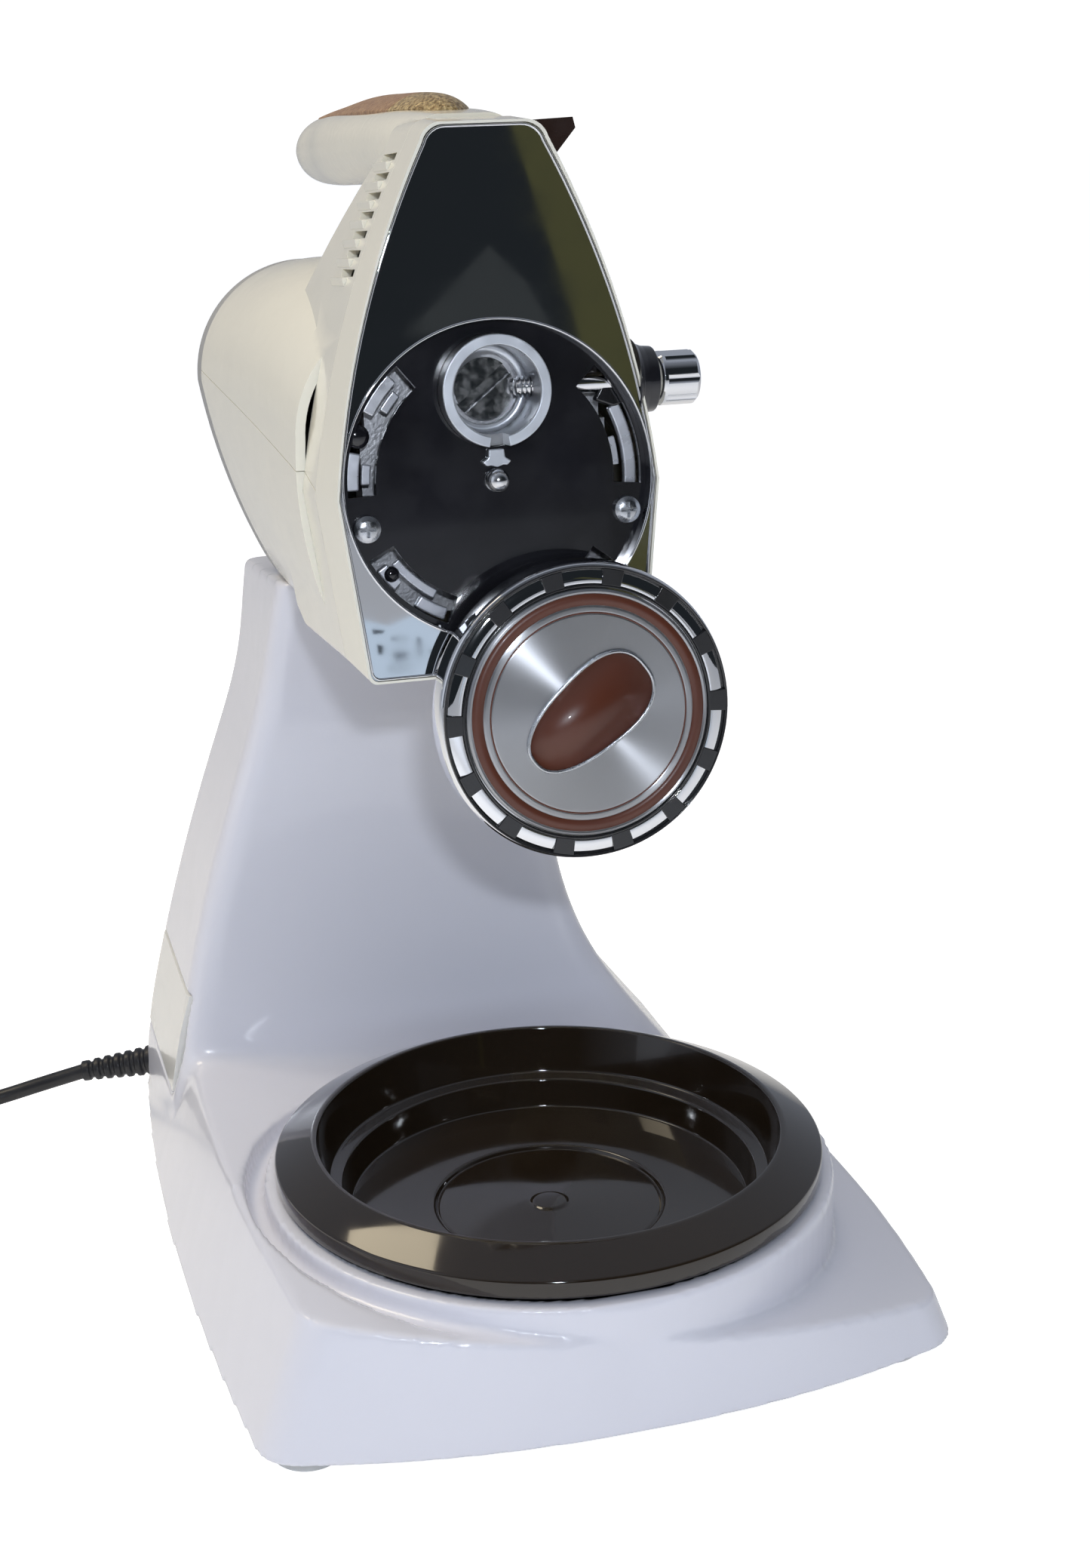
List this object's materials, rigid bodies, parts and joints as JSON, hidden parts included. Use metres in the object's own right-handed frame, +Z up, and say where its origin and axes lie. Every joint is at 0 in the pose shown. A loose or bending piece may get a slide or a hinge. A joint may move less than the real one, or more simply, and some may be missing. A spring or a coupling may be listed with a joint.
{
  "type": "stand mixer",
  "caption": "Household stand mixer with a tilting motor head, a bowl turntable and a front accessory drive whose round cover is swung aside.",
  "frame": {"origin": "on the table, under the turntable's axis", "axes": "+Z up, front drive towards -Y, the viewer's right at +X"},
  "size_m": [0.3326, 0.333, 0.3301],
  "materials": {
    "ivory_gloss": "gloss",
    "white_gloss": "gloss",
    "cover_white": "gloss",
    "white_rubber": "matt",
    "grey_plastic": "satin",
    "base_plastic": "matt",
    "smoke_brown": "gloss",
    "chrome_plate": "mirror",
    "chrome_knob": "polished",
    "black_gloss": "gloss",
    "socket_metal": "machined",
    "die_cast": "as cast",
    "zinc_steel": "zinc plated",
    "bright_steel": "ground",
    "lamination": "stacked sheet",
    "copper": "enamelled",
    "bronze": "machined",
    "carbon": "matt",
    "phenolic": "matt",
    "brown_grain": "grained",
    "gold_pebble": "pebbled",
    "dark_brown": "gloss",
    "badge_metal": "brushed in circles",
    "trim_black": "gloss",
    "cord_black": "satin"
  },
  "bodies": {
    "stand": {"stand_shell": "white_gloss", "rear_cover": "cover_white", "base_plate": "base_plastic", "feet": "white_rubber", "base_plate_screws": "zinc_steel", "turntable_pin": "bright_steel", "turntable_washer": "zinc_steel", "hinge_bracket": "zinc_steel", "hinge_pin": "bright_steel", "power_cord": "cord_black", "strain_relief": "cord_black", "cord_coil": "cord_black", "plug": "cord_black"},
    "turntable": {"turntable": "smoke_brown"},
    "head": {"head_housing_upper": "ivory_gloss", "head_housing_lower": "ivory_gloss", "front_frame": "ivory_gloss", "front_plate": "chrome_plate", "rear_cap": "grey_plastic", "handle_insert": "brown_grain", "hub_disc": "black_gloss", "hub_socket": "socket_metal", "detent_spring": "bright_steel", "detent_cup": "zinc_steel", "hub_screws": "zinc_steel", "cover_pin": "zinc_steel", "gearbox_frame": "die_cast", "front_bearing": "bronze", "rear_bearing": "bronze", "motor_stator": "lamination", "field_coils": "copper", "motor_end_frame": "phenolic", "brushes": "carbon", "speed_control": "phenolic"},
    "cover": {"hub_cover": "chrome_plate", "cover_trim": "trim_black", "cover_badge": "badge_metal"},
    "thumbscrew": {"hub_thumbscrew": "chrome_knob"},
    "dial": {"speed_dial": "grey_plastic"},
    "lever": {"beater_release_lever": "dark_brown"},
    "button": {"burst_button": "gold_pebble"},
    "ball": {"detent_ball": "bright_steel"},
    "armature": {"armature_shaft": "bright_steel", "armature_core": "lamination", "commutator": "copper", "cooling_fan": "phenolic"},
    "left_spindle": {"beater_spindle_left": "bright_steel", "worm_wheel_left": "bronze"},
    "right_spindle": {"beater_spindle_right": "bright_steel", "worm_wheel_right": "bronze"},
    "hub_drive": {"hub_spindle": "bright_steel", "hub_gear": "bronze"}
  },
  "joints": [
    {"name": "head_tilt", "type": "hinge", "parent": "stand", "child": "head", "pos_m": [-0.0136, 0.10742, 0.20494], "axis": [-1, 0, 0], "range_deg": [0, 40]},
    {"name": "turntable_spin", "type": "hinge", "parent": "stand", "child": "turntable", "pos_m": [0, 0, 0.03], "axis": [0, 0, 1], "continuous": true},
    {"name": "cover_swing", "type": "hinge", "parent": "head", "child": "cover", "pos_m": [-0.0152, -0.02274, 0.20879], "axis": [0, -0.9962, 0.0872], "range_deg": [-38, 142]},
    {"name": "thumbscrew_turn", "type": "hinge", "parent": "head", "child": "thumbscrew", "pos_m": [0.0164, -0.00813, 0.26102], "axis": [1, 0, 0], "continuous": true},
    {"name": "dial_turn", "type": "hinge", "parent": "head", "child": "dial", "pos_m": [-0.0136, 0.13833, 0.24841], "axis": [0, 0.9962, -0.0872], "range_deg": [0, 270]},
    {"name": "lever_press", "type": "hinge", "parent": "head", "child": "lever", "pos_m": [-0.0086, 0.0069, 0.31813], "axis": [0, 0.9962, -0.0872], "range_deg": [0, 8], "stiffness_Nm_per_rad": 0.1, "springref_deg": -2.86},
    {"name": "button_press", "type": "slide", "parent": "head", "child": "button", "axis": [0, -0.0872, -0.9962], "range_m": [0, 0.002], "stiffness_N_per_m": 400, "springref_m": -0.002},
    {"name": "ball_press", "type": "slide", "parent": "head", "child": "ball", "axis": [0, 0.9962, -0.0872], "range_m": [0, 0.0015], "stiffness_N_per_m": 500, "springref_m": -0.002, "deforming": ["detent_spring"]},
    {"name": "armature_spin", "type": "hinge", "parent": "head", "child": "armature", "pos_m": [-0.0136, 0.07183, 0.23415], "axis": [0, 0.9962, -0.0872], "continuous": true},
    {"name": "beater_left_spin", "type": "hinge", "parent": "head", "child": "left_spindle", "pos_m": [-0.0341, 0.01811, 0.21676], "axis": [0, 0.0872, 0.9962], "continuous": true},
    {"name": "beater_right_spin", "type": "hinge", "parent": "head", "child": "right_spindle", "pos_m": [0.0069, 0.01811, 0.21676], "axis": [0, 0.0872, 0.9962], "continuous": true},
    {"name": "hub_spin", "type": "hinge", "parent": "head", "child": "hub_drive", "pos_m": [-0.0136, 0.00382, 0.25997], "axis": [0, 0.9962, -0.0872], "continuous": true}
  ],
  "couplings": [
    {"joint": "beater_left_spin", "follows": "armature_spin", "ratio": 0.033333},
    {"joint": "beater_right_spin", "follows": "armature_spin", "ratio": -0.033333},
    {"joint": "hub_spin", "follows": "armature_spin", "ratio": -0.28571}
  ]
}
